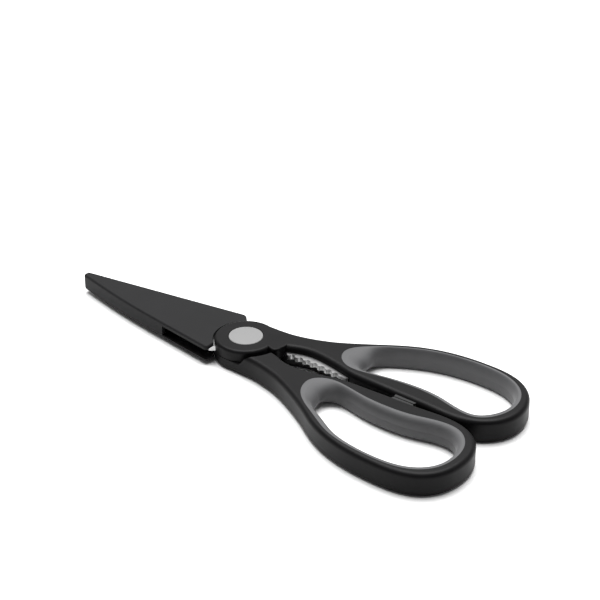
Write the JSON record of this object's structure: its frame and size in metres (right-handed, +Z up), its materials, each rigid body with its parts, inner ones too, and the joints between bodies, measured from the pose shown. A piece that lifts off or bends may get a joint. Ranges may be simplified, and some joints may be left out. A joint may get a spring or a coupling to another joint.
{
  "type": "poultry shears",
  "caption": "Kitchen and poultry shears with looped soft-grip handles, toothed cracking jaws behind the pivot, and a tapered sheath over the closed blades.",
  "frame": {"origin": "on the pivot axis, at the underside of the lower pivot boss where the shears lie on the table", "axes": "+X from the pivot towards the finger loops, +Z up along the pivot axis, +Y to the side of the upper half's loop"},
  "size_m": [0.2174, 0.0874, 0.0104],
  "materials": {
    "handle_plastic": "satin black moulding",
    "grip_rubber": "matt grey soft-touch moulding",
    "blade_steel": "ground stainless steel",
    "cap_steel": "fine satin stainless disc with a bright chamfer",
    "pad_rubber": "matt black bumper",
    "pivot_steel": "plain machined steel",
    "sheath_plastic": "matt charcoal moulding"
  },
  "bodies": {
    "upper_half": {"handle_upper": "handle_plastic", "grip_upper": "grip_rubber", "blade_upper": "blade_steel", "cap_upper": "cap_steel", "stop_pad_upper": "pad_rubber", "pivot_stud": "pivot_steel", "pivot_nut": "pivot_steel", "spring_washer": "pivot_steel"},
    "lower_half": {"handle_lower": "handle_plastic", "grip_lower": "grip_rubber", "blade_lower": "blade_steel", "cap_lower": "cap_steel", "stop_pad_lower": "pad_rubber"},
    "sheath": {"sheath": "sheath_plastic"}
  },
  "joints": [
    {"name": "pivot_open", "type": "hinge", "parent": "upper_half", "child": "lower_half", "pos_m": [0, 0, 0.0052], "axis": [0, 0, -1], "range_deg": [0, 50]},
    {"name": "sheath_slide", "type": "slide", "parent": "upper_half", "child": "sheath", "axis": [-1, 0, 0], "range_m": [0, 0.1]}
  ]
}
